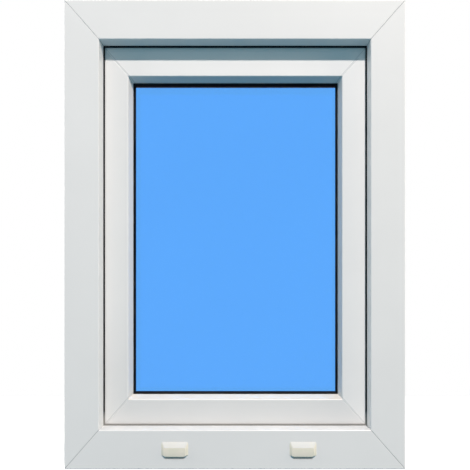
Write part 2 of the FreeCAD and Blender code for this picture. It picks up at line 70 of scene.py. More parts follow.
def newGroup(name, inputs, outputs):
    group = bpy.data.node_groups.new(name, "ShaderNodeTree")
    for label, kind, value in inputs:
        socket = group.interface.new_socket(name=label, in_out="INPUT", socket_type="NodeSocket" + kind)
        socket.default_value = value
    for label, kind in outputs:
        group.interface.new_socket(name=label, in_out="OUTPUT", socket_type="NodeSocket" + kind)
    return group, group.nodes.new("NodeGroupInput"), group.nodes.new("NodeGroupOutput")


def addNode(tree, kind, settings=None, values=None):
    node = tree.nodes.new(kind)
    for key, value in (settings or {}).items():
        setattr(node, key, value)
    for key, value in (values or {}).items():
        node.inputs[key].default_value = value
    return node


def mathNode(tree, operation, first, second=None):
    node = addNode(tree, "ShaderNodeMath", {"operation": operation})
    for index, source in enumerate((first, second)):
        if source is None:
            continue
        if isinstance(source, (int, float)):
            node.inputs[index].default_value = source
        else:
            tree.links.new(source, node.inputs[index])
    return node.outputs[0]


def smoothRange(tree, source, low, high, outLow=0.0, outHigh=1.0):
    node = addNode(tree, "ShaderNodeMapRange", {"interpolation_type": "SMOOTHSTEP"})
    for label, value in (("From Min", low), ("From Max", high), ("To Min", outLow), ("To Max", outHigh)):
        if isinstance(value, (int, float)):
            node.inputs[label].default_value = value
        else:
            tree.links.new(value, node.inputs[label])
    tree.links.new(source, node.inputs["Value"])
    return node.outputs["Result"]


def splitVector(tree, source):
    node = addNode(tree, "ShaderNodeSeparateXYZ")
    tree.links.new(source, node.inputs[0])
    return node.outputs


def groupNoise(group, ins, detail, roughness):
    noise = addNode(group, "ShaderNodeTexNoise", values={"Detail": detail, "Roughness": roughness})
    group.links.new(ins.outputs["Place"], noise.inputs["Vector"])
    group.links.new(ins.outputs["Scale"], noise.inputs["Scale"])
    return noise.outputs["Fac"]


def makeWeldLineGroup():
    # thin line where the weld was cleaned off, along all four mitres
    group, ins, outs = newGroup(
        "weldLine",
        [("Place", "Vector", (0, 0, 0)), ("Half Width", "Float", 0.27), ("Half Height", "Float", 0.37),
         ("Slope", "Float", 1.0), ("Line Width", "Float", 0.001)],
        [("Mask", "Float")])
    at = splitVector(group, ins.outputs["Place"])
    fromSide = mathNode(group, "SUBTRACT", ins.outputs["Half Width"], mathNode(group, "ABSOLUTE", at["X"]))
    level = mathNode(group, "SUBTRACT", at["Z"], ins.outputs["Half Height"])
    fromEnd = mathNode(group, "SUBTRACT", ins.outputs["Half Height"], mathNode(group, "ABSOLUTE", level))
    onMitre = mathNode(group, "MULTIPLY", fromEnd, ins.outputs["Slope"])
    distance = mathNode(group, "ABSOLUTE", mathNode(group, "SUBTRACT", fromSide, onMitre))
    mask = smoothRange(group, distance, 0.0, ins.outputs["Line Width"], 1.0, 0.0)
    group.links.new(mask, outs.inputs["Mask"])
    return group


def makeDrawnLinesGroup():
    # fine die lines that run along a drawn profile
    group, ins, outs = newGroup(
        "drawnLines",
        [("Place", "Vector", (0, 0, 0)), ("Stretch", "Vector", (1, 1, 1)), ("Detail", "Float", 3.0)],
        [("Height", "Float")])
    scaled = addNode(group, "ShaderNodeVectorMath", {"operation": "MULTIPLY"})
    noise = addNode(group, "ShaderNodeTexNoise", values={"Scale": 1.0, "Roughness": 0.6})
    group.links.new(ins.outputs["Place"], scaled.inputs[0])
    group.links.new(ins.outputs["Stretch"], scaled.inputs[1])
    group.links.new(scaled.outputs[0], noise.inputs["Vector"])
    group.links.new(ins.outputs["Detail"], noise.inputs["Detail"])
    group.links.new(noise.outputs["Fac"], outs.inputs["Height"])
    return group


def makeMottleGroup():
    # slow drift of a colour between two tints
    group, ins, outs = newGroup(
        "mottle",
        [("Place", "Vector", (0, 0, 0)), ("Scale", "Float", 10.0),
         ("Tint A", "Color", (0.8, 0.8, 0.8, 1)), ("Tint B", "Color", (0.8, 0.8, 0.8, 1))],
        [("Color", "Color"), ("Fac", "Float")])
    noise = groupNoise(group, ins, detail=4.0, roughness=0.55)
    fac = smoothRange(group, noise, *effectLook["noiseSpan"])
    mix = addNode(group, "ShaderNodeMix", {"data_type": "RGBA"})
    group.links.new(fac, mix.inputs["Factor"])
    group.links.new(ins.outputs["Tint A"], mix.inputs["A"])
    group.links.new(ins.outputs["Tint B"], mix.inputs["B"])
    group.links.new(mix.outputs["Result"], outs.inputs["Color"])
    group.links.new(fac, outs.inputs["Fac"])
    return group


def makeGrainGroup():
    # fine even grain of moulded and enamelled surfaces
    group, ins, outs = newGroup(
        "grain",
        [("Place", "Vector", (0, 0, 0)), ("Scale", "Float", 900.0)],
        [("Height", "Float")])
    group.links.new(groupNoise(group, ins, detail=2.0, roughness=0.5), outs.inputs["Height"])
    return group


def makeLedgeDustAndShadeGroup():
    # dust on what faces up on the weather side, thinner here and there, which is also painted shade where
    # the key lamp lights those faces strongly
    group, ins, outs = newGroup(
        "ledgeDustAndShade",
        [("Place", "Vector", (0, 0, 0)), ("Facing", "Vector", (0, 0, 1)), ("Weather Depth", "Float", 0.0),
         ("Scale", "Float", 40.0), ("Steepest", "Float", 0.5), ("Full", "Float", 0.85)],
        [("Mask", "Float")])
    at = splitVector(group, ins.outputs["Place"])
    turned = splitVector(group, ins.outputs["Facing"])
    noise = groupNoise(group, ins, detail=3.0, roughness=0.6)
    facesUp = smoothRange(group, turned["Z"], ins.outputs["Steepest"], ins.outputs["Full"])
    outside = mathNode(group, "LESS_THAN", at["Y"], ins.outputs["Weather Depth"])
    patchy = smoothRange(group, noise, *effectLook["dustAndShadeSpan"], effectLook["dustAndShadeThin"], 1.0)
    mask = mathNode(group, "MULTIPLY", mathNode(group, "MULTIPLY", facesUp, outside), patchy)
    group.links.new(mask, outs.inputs["Mask"])
    return group


weldLineGroup = makeWeldLineGroup()
drawnLinesGroup = makeDrawnLinesGroup()
mottleGroup = makeMottleGroup()
grainGroup = makeGrainGroup()
ledgeDustAndShadeGroup = makeLedgeDustAndShadeGroup()
print("shader effects made")


# materials

def newMaterial(name):
    material = bpy.data.materials.new(name)
    material.use_nodes = True
    tree = material.node_tree
    shader = tree.nodes["Principled BSDF"]
    place = addNode(tree, "ShaderNodeTexCoord").outputs["Object"]
    return material, tree, shader, place


def dimmed(tint, share):
    return tuple(c * share for c in tint)


def useGroup(tree, group, place, values):
    node = addNode(tree, "ShaderNodeGroup", {"node_tree": group}, values)
    tree.links.new(place, node.inputs["Place"])
    return node


def driftTint(tree, place, scale, tintA, tintB):
    return useGroup(tree, mottleGroup, place, {"Scale": scale, "Tint A": (*tintA, 1), "Tint B": (*tintB, 1)})


def driftRoughness(tree, shader, drift, roughness):
    rough = smoothRange(tree, drift.outputs["Fac"], 0.0, 1.0, *roughness)
    tree.links.new(rough, shader.inputs["Roughness"])


def layTint(tree, colour, mask, tint):
    mix = addNode(tree, "ShaderNodeMix", {"data_type": "RGBA"}, {"B": (*tint, 1)})
    tree.links.new(mask, mix.inputs["Factor"])
    tree.links.new(colour, mix.inputs["A"])
    return mix.outputs["Result"]


def ledgeDustAndShade(tree, place, depth, scale, steepest, full):
    dustAndShade = useGroup(tree, ledgeDustAndShadeGroup, place, {
        "Weather Depth": depth, "Scale": scale, "Steepest": steepest, "Full": full})
    tree.links.new(tree.nodes["Texture Coordinate"].outputs["Normal"], dustAndShade.inputs["Facing"])
    return dustAndShade.outputs["Mask"]


def heightMask(tree, place, low, high, atLow, atHigh):
    # changes from one share to the other between two heights
    return smoothRange(tree, splitVector(tree, place)["Z"], low, high, atLow, atHigh)


def addBump(tree, shader, height, strength, distance):
    bump = addNode(tree, "ShaderNodeBump", values={"Strength": strength, "Distance": distance})
    tree.links.new(height, bump.inputs["Height"])
    tree.links.new(bump.outputs["Normal"], shader.inputs["Normal"])


def addGrain(tree, shader, place, look):
    grain = useGroup(tree, grainGroup, place, {"Scale": look["grainScale"]})
    addBump(tree, shader, grain.outputs["Height"], look["grainBump"], look["grainDepth"])


profileLook = {
    "tint": {"frame": (0.82, 0.825, 0.83), "sash": (0.876, 0.878, 0.88), "bead": (0.865, 0.865, 0.865)},
    "drift": 0.02,            # how much the white drifts
    "driftScale": 9.0,
    "roughness": (0.30, 0.40),
    "lineSpread": 700.0,      # die lines per metre across the profile
    "lineStretch": 2.5,       # and along it
    "lineBump": 0.05,
    "lineDepth": 0.15 * mm,
    "weldTint": (0.36, 0.37, 0.38),
    "weldWidth": 1.1 * mm,
    "weldStrength": {"frame": 0.85, "sash": 0.5, "bead": 0.5},
    # dust on upward faces, and also painted shade there; the sash's tint is warm against the blue light on
    # it
    "dustAndShadeTint": {"frame": (0.615, 0.64, 0.66), "sash": (0.78, 0.745, 0.68),
                 "bead": (0.78, 0.77, 0.76)},
    "dustScale": 35.0,
    "dustAndShadeSlope": (0.5, 0.85),
    "topDustAndShadeTint": (0.55, 0.55, 0.54),  # thicker dust on top of the head, and painted shade that keeps its key-lit top from going white
    "topDustAndShadeDepth": 8.0 * mm,
    # painted shade: how much darker the foot of each sash piece is made, against the light the sill throws
    # up onto it
    "footShade": {"sashWhiteRail": 0.115, "sashWhiteStile": 0.015, "sashWhiteLockStile": 0.06},
    "footShadeTint": (0.0, 0.0, 0.0),
    "footShadeHeights": (0.13, 0.27),
    "lockStileShade": 0.960,    # painted shade: the stile with the handle is made darker, as the lamps light it more than the other
    "capShadeTint": (0.70, 0.60, 0.54),  # painted shade in the cast shadow under the drain caps, warm so that the shadow reads grey
    "capShadeReach": 6.0 * mm,
    "capShadeFade": 4.0 * mm,
}


def shadeUnderCap(tree, place, node):
    # painted shade: a warm darkening in the cast shadow just under a drain cap
    look = profileLook
    low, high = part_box(node)
    at = splitVector(tree, place)
    fromMiddle = mathNode(tree, "ABSOLUTE", mathNode(tree, "SUBTRACT", at["X"], (low.x + high.x) / 2))
    end = (high.x - low.x) / 2 - look["capShadeFade"]
    across = smoothRange(tree, fromMiddle, end - look["capShadeFade"], end, 1.0, 0.0)
    reach = look["capShadeReach"]
    below = heightMask(tree, place, low.z - reach, low.z - reach / 2, 0.0, 1.0)
    behindCap = mathNode(tree, "LESS_THAN", at["Z"], high.z)
    return mathNode(tree, "MULTIPLY", mathNode(tree, "MULTIPLY", across, below), behindCap)


def makeProfileWhite(name, piece, alongRail, shadeShare=1.0):
    look = profileLook
    # a share below 1 paints shade over the whole piece
    tint = dimmed(look["tint"][piece], shadeShare)
    material, tree, shader, place = newMaterial(name)
    drift = driftTint(tree, place, look["driftScale"], dimmed(tint, 1 - look["drift"]), tint)
    weld = useGroup(tree, weldLineGroup, place, {
        "Half Width": halfWidth, "Half Height": halfHeight, "Slope": slope, "Line Width": look["weldWidth"]})
    weldFac = mathNode(tree, "MULTIPLY", weld.outputs["Mask"], look["weldStrength"][piece])
    colour = layTint(tree, drift.outputs["Color"], weldFac, look["weldTint"])
    depth = frameBack if piece == "frame" else weatherDepth
    # dust and painted shade on what faces up
    dustAndShade = ledgeDustAndShade(tree, place, depth, look["dustScale"], *look["dustAndShadeSlope"])
    colour = layTint(tree, colour, dustAndShade, look["dustAndShadeTint"][piece])
    if piece == "frame":
        # painted shade with the dust: the top of the head made darker
        top = headHigh.z
        nearTop = heightMask(tree, place, top - 2 * look["topDustAndShadeDepth"], top - look["topDustAndShadeDepth"], 0.0, 1.0)
        colour = layTint(tree, colour, mathNode(tree, "MULTIPLY", dustAndShade, nearTop), look["topDustAndShadeTint"])
    if name == "frameWhiteRail":
        # painted shade under each drain cap
        for node in capNodes:
            colour = layTint(tree, colour, shadeUnderCap(tree, place, node), look["capShadeTint"])
    # painted shade, darker towards the foot of the sash pieces
    if name in look["footShade"]:
        footShade = heightMask(tree, place, *look["footShadeHeights"], look["footShade"][name], 0.0)
        colour = layTint(tree, colour, footShade, look["footShadeTint"])
    tree.links.new(colour, shader.inputs["Base Color"])
    across, along = look["lineSpread"], look["lineStretch"]
    stretch = (along, across, across) if alongRail else (across, across, along)
    lines = useGroup(tree, drawnLinesGroup, place, {"Stretch": stretch})
    rough = smoothRange(tree, lines.outputs["Height"], *effectLook["noiseSpan"], *look["roughness"])
    tree.links.new(rough, shader.inputs["Roughness"])
    addBump(tree, shader, lines.outputs["Height"], look["lineBump"], look["lineDepth"])
    return material


sealLook = {
    "tint": (0.004, 0.005, 0.009),
    "dusty": (0.018, 0.019, 0.024),
    "dustScale": {"sealBlack": 40.0, "gasketBlack": 15.0},
    # paler foot of the seals: dust, and painted light where the key lamp lights the bottom seal
    "footDustAndLight": (0.30, 0.30, 0.29),
    "footHeights": (0.078, 0.092),
    "footShare": 0.8,
    "roughness": (0.55, 0.8),
    "shine": 0.03,
    "grainScale": 1400.0,
    "grainBump": 0.12,
    "grainDepth": 0.1 * mm,
}


def makeSealRubber(name):
    look = sealLook
    material, tree, shader, place = newMaterial(name)
    drift = driftTint(tree, place, look["dustScale"][name], look["tint"], look["dusty"])
    # dust and painted light at the foot of the seals
    foot = heightMask(tree, place, *look["footHeights"], look["footShare"], 0.0)
    colour = layTint(tree, drift.outputs["Color"], foot, look["footDustAndLight"])
    tree.links.new(colour, shader.inputs["Base Color"])
    driftRoughness(tree, shader, drift, look["roughness"])
    shader.inputs["Specular IOR Level"].default_value = look["shine"]
    addGrain(tree, shader, place, look)
    return material


glassLook = {
    # painted reflection: the outer pane is tinted sky blue for the sky it shows, the glass itself being
    # clear
    "skyReflectionTint": (0.083, 0.40, 1.0),
    "clearTint": (0.985, 0.995, 0.99),
    "bend": 1.50,
    "lampTint": (0.56, 0.58, 0.60),  # what each face of a pane lets through of the lamps
    "waver": 0.01,                   # how much the tint drifts
    "waverScale": 3.0,
    "shadeBandTint": (0.0, 0.0, 0.006),   # painted shade: a black band on the glass along the underside of the top gasket
    "shadeBandHeight": 1.2 * mm,
    "shadeBandFade": 0.4 * mm,
}


# painted shade: a black band across the glass just under the top gasket
def gasketShadeBand(tree, place):
    look = glassLook
    points = nodes["glazing_gasket"].data.vertices
    gasketEdge = min(v.co.z for v in points if v.co.z > halfHeight)  # of its top length
    low = gasketEdge - look["shadeBandHeight"]
    return heightMask(tree, place, low - look["shadeBandFade"], low, 0.0, 1.0)


def makeGlass(name, tint, topShaded):
    look = glassLook
    material, tree, shader, place = newMaterial(name)
    drift = driftTint(tree, place, look["waverScale"], dimmed(tint, 1 - look["waver"]), tint)
    colour = drift.outputs["Color"]
    # painted shade along the top of the pane
    if topShaded:
        colour = layTint(tree, colour, gasketShadeBand(tree, place), look["shadeBandTint"])
    tree.links.new(colour, shader.inputs["Base Color"])
    shader.inputs["Roughness"].default_value = 0.0
    shader.inputs["IOR"].default_value = look["bend"]
    shader.inputs["Transmission Weight"].default_value = 1.0
    letLamps = addNode(tree, "ShaderNodeBsdfTransparent", values={"Color": (*look["lampTint"], 1)})
    path = addNode(tree, "ShaderNodeLightPath")
    mix = addNode(tree, "ShaderNodeMixShader")
    tree.links.new(path.outputs["Is Shadow Ray"], mix.inputs["Fac"])
    tree.links.new(shader.outputs["BSDF"], mix.inputs[1])
    tree.links.new(letLamps.outputs["BSDF"], mix.inputs[2])
    tree.links.new(mix.outputs["Shader"], tree.nodes["Material Output"].inputs["Surface"])
    return material


spacerLook = {
    "tint": (0.80, 0.81, 0.82),
    "dull": (0.72, 0.73, 0.74),
    "driftScale": 60.0,
    "roughness": (0.40, 0.50),
    "holePitch": 4.0 * mm,    # breathing holes in the bar
    "holeSize": 0.5 * mm,
    "holeCore": 0.7,          # share of a hole that is fully dark
    "holeTint": (0.03, 0.03, 0.03),
}


def makeSpacerMetal(name):
    look = spacerLook
    material, tree, shader, place = newMaterial(name)
    drift = driftTint(tree, place, look["driftScale"], look["dull"], look["tint"])
    at = splitVector(tree, place)
    alongBar = mathNode(tree, "ADD", at["X"], at["Z"])
    fromHole = mathNode(tree, "PINGPONG", alongBar, look["holePitch"] / 2)
    low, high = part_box("spacer")
    fromMiddle = mathNode(tree, "SUBTRACT", at["Y"], (low.y + high.y) / 2)
    squares = [mathNode(tree, "POWER", way, 2.0) for way in (fromHole, fromMiddle)]
    away = mathNode(tree, "SQRT", mathNode(tree, "ADD", *squares))
    hole = smoothRange(tree, away, look["holeSize"] * look["holeCore"], look["holeSize"], 1.0, 0.0)
    colour = layTint(tree, drift.outputs["Color"], hole, look["holeTint"])
    tree.links.new(colour, shader.inputs["Base Color"])
    driftRoughness(tree, shader, drift, look["roughness"])
    shader.inputs["Metallic"].default_value = 1.0
    return material


mouldedLooks = {
    "capCream": {"tintA": (0.80, 0.775, 0.66), "tintB": (0.85, 0.80, 0.695), "driftScale": 70.0,
                 # the cap's dust tint on its top slope is also painted sheen and shade: greyer and darker
                 # than the cream
                 "dustAndShadeTint": (0.72, 0.735, 0.735), "dustAndShadeSlope": (0.1, 0.3), "roughness": (0.45, 0.6),
                 "grainScale": 1600.0, "grainBump": 0.08, "grainDepth": 0.1 * mm},
    "handleEnamel": {"tintA": (0.86, 0.86, 0.85), "tintB": (0.88, 0.88, 0.875), "driftScale": 25.0,
                     "roughness": (0.22, 0.3),
                     "grainScale": 500.0, "grainBump": 0.04, "grainDepth": 0.1 * mm},
    "hingeWhite": {"tintA": (0.85, 0.85, 0.84), "tintB": (0.87, 0.87, 0.865), "driftScale": 30.0,
                   "roughness": (0.35, 0.45),
                   "grainScale": 1800.0, "grainBump": 0.1, "grainDepth": 0.1 * mm},
    "packerBlue": {"tintA": (0.20, 0.36, 0.58), "tintB": (0.26, 0.42, 0.62), "driftScale": 40.0,
                   "roughness": (0.5, 0.6),
                   "grainScale": 900.0, "grainBump": 0.1, "grainDepth": 0.1 * mm},
    "sealantBlack": {"tintA": (0.02, 0.02, 0.022), "tintB": (0.035, 0.035, 0.037), "driftScale": 90.0,
                     "roughness": (0.6, 0.8),
                     "grainScale": 300.0, "grainBump": 0.2, "grainDepth": 0.3 * mm},
    "pinSteel": {"tintA": (0.55, 0.55, 0.56), "tintB": (0.65, 0.65, 0.66), "driftScale": 200.0,
                 "metal": 1.0, "roughness": (0.25, 0.4),
                 "grainScale": 2500.0, "grainBump": 0.05, "grainDepth": 0.05 * mm},
}


def makeMoulded(name, look):
    # moulded, enamelled or turned pieces: a drifting tint and an even grain
    material, tree, shader, place = newMaterial(name)
    drift = driftTint(tree, place, look["driftScale"], look["tintA"], look["tintB"])
    colour = drift.outputs["Color"]
    if "dustAndShadeTint" in look:
        # dust and painted shade on what faces up
        dustAndShade = ledgeDustAndShade(tree, place, weatherDepth, look["driftScale"], *look["dustAndShadeSlope"])
        colour = layTint(tree, colour, dustAndShade, look["dustAndShadeTint"])
    tree.links.new(colour, shader.inputs["Base Color"])
    driftRoughness(tree, shader, drift, look["roughness"])
    shader.inputs["Metallic"].default_value = look.get("metal", 0.0)
    addGrain(tree, shader, place, look)
    return material


materials = {name: makeMoulded(name, look) for name, look in mouldedLooks.items()}
for piece in ("frame", "sash", "bead"):
    for run in ("Rail", "Stile"):
        name = piece + "White" + run
        materials[name] = makeProfileWhite(name, piece, alongRail=run == "Rail")
lockStile = "sashWhiteLockStile"
# painted shade: a darker copy of the sash white for the lock stile
materials[lockStile] = makeProfileWhite(lockStile, "sash", alongRail=False, shadeShare=profileLook["lockStileShade"])
for name in sealLook["dustScale"]:
    materials[name] = makeSealRubber(name)
# painted reflection of the sky on the outer pane
materials["paneSkyReflection"] = makeGlass("paneSkyReflection", glassLook["skyReflectionTint"], topShaded=True)
materials["paneClear"] = makeGlass("paneClear", glassLook["clearTint"], topShaded=False)
materials["spacerMetal"] = makeSpacerMetal("spacerMetal")
print("materials made:", len(materials))

finishOfNode = {
    "frame_head": "frameWhiteRail", "frame_sill": "frameWhiteRail",
    "frame_jamb_left": "frameWhiteStile", "frame_jamb_right": "frameWhiteStile",
    "sash_top_rail": "sashWhiteRail", "sash_bottom_rail": "sashWhiteRail",
    "sash_hinge_stile": "sashWhiteStile", "sash_lock_stile": lockStile,
    "glazing_bead_top": "beadWhiteRail", "glazing_bead_bottom": "beadWhiteRail",
    "glazing_bead_left": "beadWhiteStile", "glazing_bead_right": "beadWhiteStile",
    "frame_outer_seal": "sealBlack", "sash_overlap_seal": "sealBlack",
    "glazing_gasket": "gasketBlack", "bead_gasket": "gasketBlack",
    "outer_pane": "paneSkyReflection", "inner_pane": "paneClear",
    "spacer": "spacerMetal", "edge_sealant": "sealantBlack", "glazing_packers": "packerBlue",
    "lower_hinge_frame_part": "hingeWhite", "lower_hinge_sash_part": "hingeWhite",
    "upper_hinge_frame_part": "hingeWhite", "upper_hinge_sash_part": "hingeWhite",
    "handle_rosette": "handleEnamel", "handle_lever": "handleEnamel",
    "drain_cap_left": "capCream", "drain_cap_right": "capCream",
}
for nodeName, materialName in finishOfNode.items():
    nodeMaterials = nodes[nodeName].data.materials
    nodeMaterials.clear()
    nodeMaterials.append(materials[materialName])
print("window painted:", len(finishOfNode), "nodes")


# modelled pieces

modelLook = {
    "straight": 0.9,           # how nearly an edge or a face lies along an axis, out of 1
    "mergeWithin": 0.01 * mm,
}


def startPiece(name, addPrimitive, **settings):
    bpy.ops.object.select_all(action="DESELECT")
    addPrimitive(**settings)
    piece = bpy.context.object
    piece.name = name
    bpy.ops.object.transform_apply(location=True, rotation=True, scale=True)
    bpy.ops.object.mode_set(mode="EDIT")
    return piece


def startBox(name, low, high):
    return startPiece(name, bpy.ops.mesh.primitive_cube_add, size=1, location=(low + high) / 2,
                      scale=high - low)


def pick(piece, kind, test):
    # selects the faces, edges or points whose middle passes the test
    bpy.ops.mesh.select_mode(type={"faces": "FACE", "edges": "EDGE", "verts": "VERT"}[kind])
    bpy.ops.mesh.select_all(action="DESELECT")
    mesh = bmesh.from_edit_mesh(piece.data)
    mesh.normal_update()
    for item in getattr(mesh, kind):
        if kind == "verts":
            middle = item.co
        else:
            middle = sum((v.co for v in item.verts), Vector()) / len(item.verts)
        item.select_set(bool(test(item, middle)))
    mesh.select_flush_mode()
    bmesh.update_edit_mesh(piece.data)


def runsAlong(edge, axis):
    way = (edge.verts[1].co - edge.verts[0].co).normalized()
    return abs(way[axis]) > modelLook["straight"]


def facesAlong(face, axis, sign):
    return face.normal[axis] * sign > modelLook["straight"]


def bevelPicked(width, steps):
    bpy.ops.mesh.bevel(offset=width, offset_type="OFFSET", segments=steps, affect="EDGES")


def pushPicked(rim, push):
    # leaves a rim round the picked faces and carries the rest along
    bpy.ops.mesh.inset(thickness=rim, depth=0)
    bpy.ops.mesh.extrude_region_move(TRANSFORM_OT_translate={"value": push})


def applyModifier(piece, kind, **settings):
    modifier = piece.modifiers.new(kind.lower(), kind)
    for key, value in settings.items():
        setattr(modifier, key, value)
    bpy.context.view_layer.objects.active = piece
    bpy.ops.object.modifier_apply(modifier=modifier.name)


def roundEdges(piece, look):
    applyModifier(piece, "BEVEL", width=look["edgeRound"], segments=look["edgeSteps"],
                  limit_method="ANGLE", angle_limit=math.radians(look["edgeAngle"]))


def finishPiece(piece, materialName, sharpAngle, replaced=()):
    # closes the piece off: outward faces, smooth shading, finish and body
    bpy.ops.object.mode_set(mode="EDIT")
    bpy.ops.mesh.select_all(action="SELECT")
    bpy.ops.mesh.remove_doubles(threshold=modelLook["mergeWithin"])
    bpy.ops.mesh.normals_make_consistent(inside=False)
    bpy.ops.object.mode_set(mode="OBJECT")
    bpy.ops.object.shade_smooth_by_angle(angle=math.radians(sharpAngle))
    piece.data.materials.clear()
    piece.data.materials.append(materials[materialName])
    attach(piece, "root")
    if replaced:
        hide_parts(*replaced)


capLook = {
    "topDrop": 9.3 * mm,       # how far the top slopes down to the front
    "sideTaper": 4.0 * mm,
    "lowCorner": 2.6 * mm,
    "highCorner": 2.0 * mm,
    "cornerSteps": 6,
    "wall": 0.9 * mm,
    "mouthDepth": 6.0 * mm,
    "edgeRound": 0.35 * mm,
    "edgeSteps": 3,
    "edgeAngle": 12,           # degrees past which an edge is rounded
    "sharpAngle": 30,          # and past which it is shaded as an edge
}


def makeDrainCap(name, node):
    look = capLook
    low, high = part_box(node)
    high.y = outsideFace       # the cap ends at the sill's face
    middle = (low + high) / 2
    size = high - low
    cap = startBox(name, low, high)
    pick(cap, "faces", lambda face, at: facesAlong(face, alongY, -1))
    bpy.ops.transform.resize(value=(1 - 2 * look["sideTaper"] / size.x, 1, 1))
    pick(cap, "edges", lambda edge, at: runsAlong(edge, alongX) and at.y < middle.y and at.z > middle.z)
    bpy.ops.transform.translate(value=(0, 0, -look["topDrop"]))
    for corner, above in (("lowCorner", False), ("highCorner", True)):
        pick(cap, "edges", lambda edge, at: not runsAlong(edge, alongX) and not runsAlong(edge, alongZ)
             and (at.z > middle.z) == above)
        bevelPicked(look[corner], look["cornerSteps"])
    pick(cap, "faces", lambda face, at: facesAlong(face, alongZ, -1))
    pushPicked(look["wall"], (0, 0, look["mouthDepth"]))
    bpy.ops.object.mode_set(mode="OBJECT")
    roundEdges(cap, look)
    finishPiece(cap, "capCream", look["sharpAngle"], [node])


for hand in ("Left", "Right"):
    makeDrainCap("drainCap" + hand, "drain_cap_" + hand.lower())
print("drain caps modelled")


rosetteLook = {
    "corner": 9.0 * mm,
    "cornerSteps": 10,
    "rim": 3.0 * mm,
    "rimSteps": 6,
    "collarRadius": 12.5 * mm,
    "collarHeight": 2.5 * mm,
    "collarSides": 48,
    "collarRim": 2.2 * mm,
    "collarStep": 0.8 * mm,
    "edgeRound": 0.5 * mm,
    "edgeSteps": 3,
    "edgeAngle": 50,
    "sharpAngle": 40,
}


def makeRosette():
    look = rosetteLook
    low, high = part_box("handle_rosette")
    high.y -= look["collarHeight"]
    middle = (low + high) / 2
    plate = startBox("handleRosette", low, high)
    pick(plate, "edges", lambda edge, at: runsAlong(edge, alongY))
    bevelPicked(look["corner"], look["cornerSteps"])
    pick(plate, "edges", lambda edge, at: not runsAlong(edge, alongY) and at.y > middle.y)
    bevelPicked(look["rim"], look["rimSteps"])
    bpy.ops.object.mode_set(mode="OBJECT")
    collarMiddle = Vector((middle.x, high.y + look["collarHeight"] / 2, middle.z))
    collar = startPiece("collar", bpy.ops.mesh.primitive_cylinder_add, vertices=look["collarSides"],
                        radius=look["collarRadius"], depth=look["collarHeight"], location=collarMiddle,
                        rotation=(math.pi / 2, 0, 0))
    pick(collar, "faces", lambda face, at: facesAlong(face, alongY, 1))
    pushPicked(look["collarRim"], (0, -look["collarStep"], 0))
    bpy.ops.object.mode_set(mode="OBJECT")
    roundEdges(collar, look)
    bpy.ops.object.select_all(action="DESELECT")
    collar.select_set(True)
    plate.select_set(True)
    bpy.context.view_layer.objects.active = plate
    bpy.ops.object.join()
    finishPiece(plate, "handleEnamel", look["sharpAngle"], ["handle_rosette"])


makeRosette()
print("handle rosette modelled")


leverLook = {
    "neckHalf": 10.0 * mm,     # half the part of the grip that the neck grows out of
    "neckTop": 0.75,           # share of that half that lies above the neck's middle
    "neckInset": 1.2 * mm,
    "neckSlim": 0.88,
    "neckSteps": 2,
    "flare": 7.0 * mm,
    "gripThickness": 14.0 * mm,
    # how far below the neck, share of the full width, share of the full thickness
    "stations": [(22 * mm, 0.90, 0.96), (48 * mm, 0.92, 0.92),
                 (78 * mm, 0.99, 0.87), (104 * mm, 0.97, 0.78)],
    "stationReach": 0.5 * mm,  # points this near a level are shaped with it
    "endShare": (0.80, 0.60),
    "headShare": (0.72, 0.66),
    "smoothLevels": 3,
    "sharpAngle": 60,
}


def fitLever(lever, low, high):
    # smoothing draws the form in, so it is brought back to its full size
    points = [v.co for v in lever.data.vertices]
    drawnLow = Vector([min(p[axis] for p in points) for axis in range(3)])
    drawnHigh = Vector([max(p[axis] for p in points) for axis in range(3)])
    growth = [(high[axis] - low[axis]) / (drawnHigh[axis] - drawnLow[axis]) for axis in range(3)]
    bpy.ops.object.mode_set(mode="EDIT")
    bpy.ops.mesh.select_all(action="SELECT")
    bpy.ops.transform.resize(value=growth, center_override=drawnHigh)
    bpy.ops.transform.translate(value=high - drawnHigh)
    bpy.ops.object.mode_set(mode="OBJECT")


def makeLever():
    look = leverLook
    low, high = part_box("handle_lever")
    rosetteLow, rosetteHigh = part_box("handle_rosette")
    neckZ = (rosetteLow.z + rosetteHigh.z) / 2
    front = high.y
    back = front - look["gripThickness"]
    gripLow = Vector((low.x, back, low.z))
    middle = (gripLow + high) / 2
    lever = startBox("handleLever", gripLow, high)
    shapes = [(neckZ - drop, wide, thick) for drop, wide, thick in look["stations"]]
    levels = [neckZ + look["neckHalf"] * look["neckTop"], neckZ - look["neckHalf"]]
    levels += [level for level, wide, thick in shapes]
    for level in levels:
        bpy.ops.mesh.select_all(action="SELECT")
        bpy.ops.mesh.bisect(plane_co=(middle.x, middle.y, level), plane_no=(0, 0, 1))
    shapes += [(low.z, *look["endShare"]), (high.z, *look["headShare"])]
    for level, wide, thick in shapes:
        pick(lever, "verts", lambda vert, at: abs(at.z - level) < look["stationReach"])
        bpy.ops.transform.resize(value=(wide, thick, 1), center_override=(middle.x, front, level))
    pick(lever, "faces", lambda face, at: facesAlong(face, alongY, -1)
         and neckZ - look["neckHalf"] < at.z < neckZ + look["neckHalf"])
    pushPicked(look["neckInset"], (0, -look["flare"], 0))
    bpy.ops.transform.resize(value=(look["neckSlim"], 1, look["neckSlim"]))
    neckStep = (back - look["flare"] - low.y) / look["neckSteps"]
    for step in range(look["neckSteps"]):
        bpy.ops.mesh.extrude_region_move(TRANSFORM_OT_translate={"value": (0, -neckStep, 0)})
    bpy.ops.transform.edge_crease(value=1)
    bpy.ops.object.mode_set(mode="OBJECT")
    applyModifier(lever, "SUBSURF", levels=look["smoothLevels"], render_levels=look["smoothLevels"])
    fitLever(lever, low, high)
    finishPiece(lever, "handleEnamel", look["sharpAngle"], ["handle_lever"])


makeLever()
print("handle lever modelled")


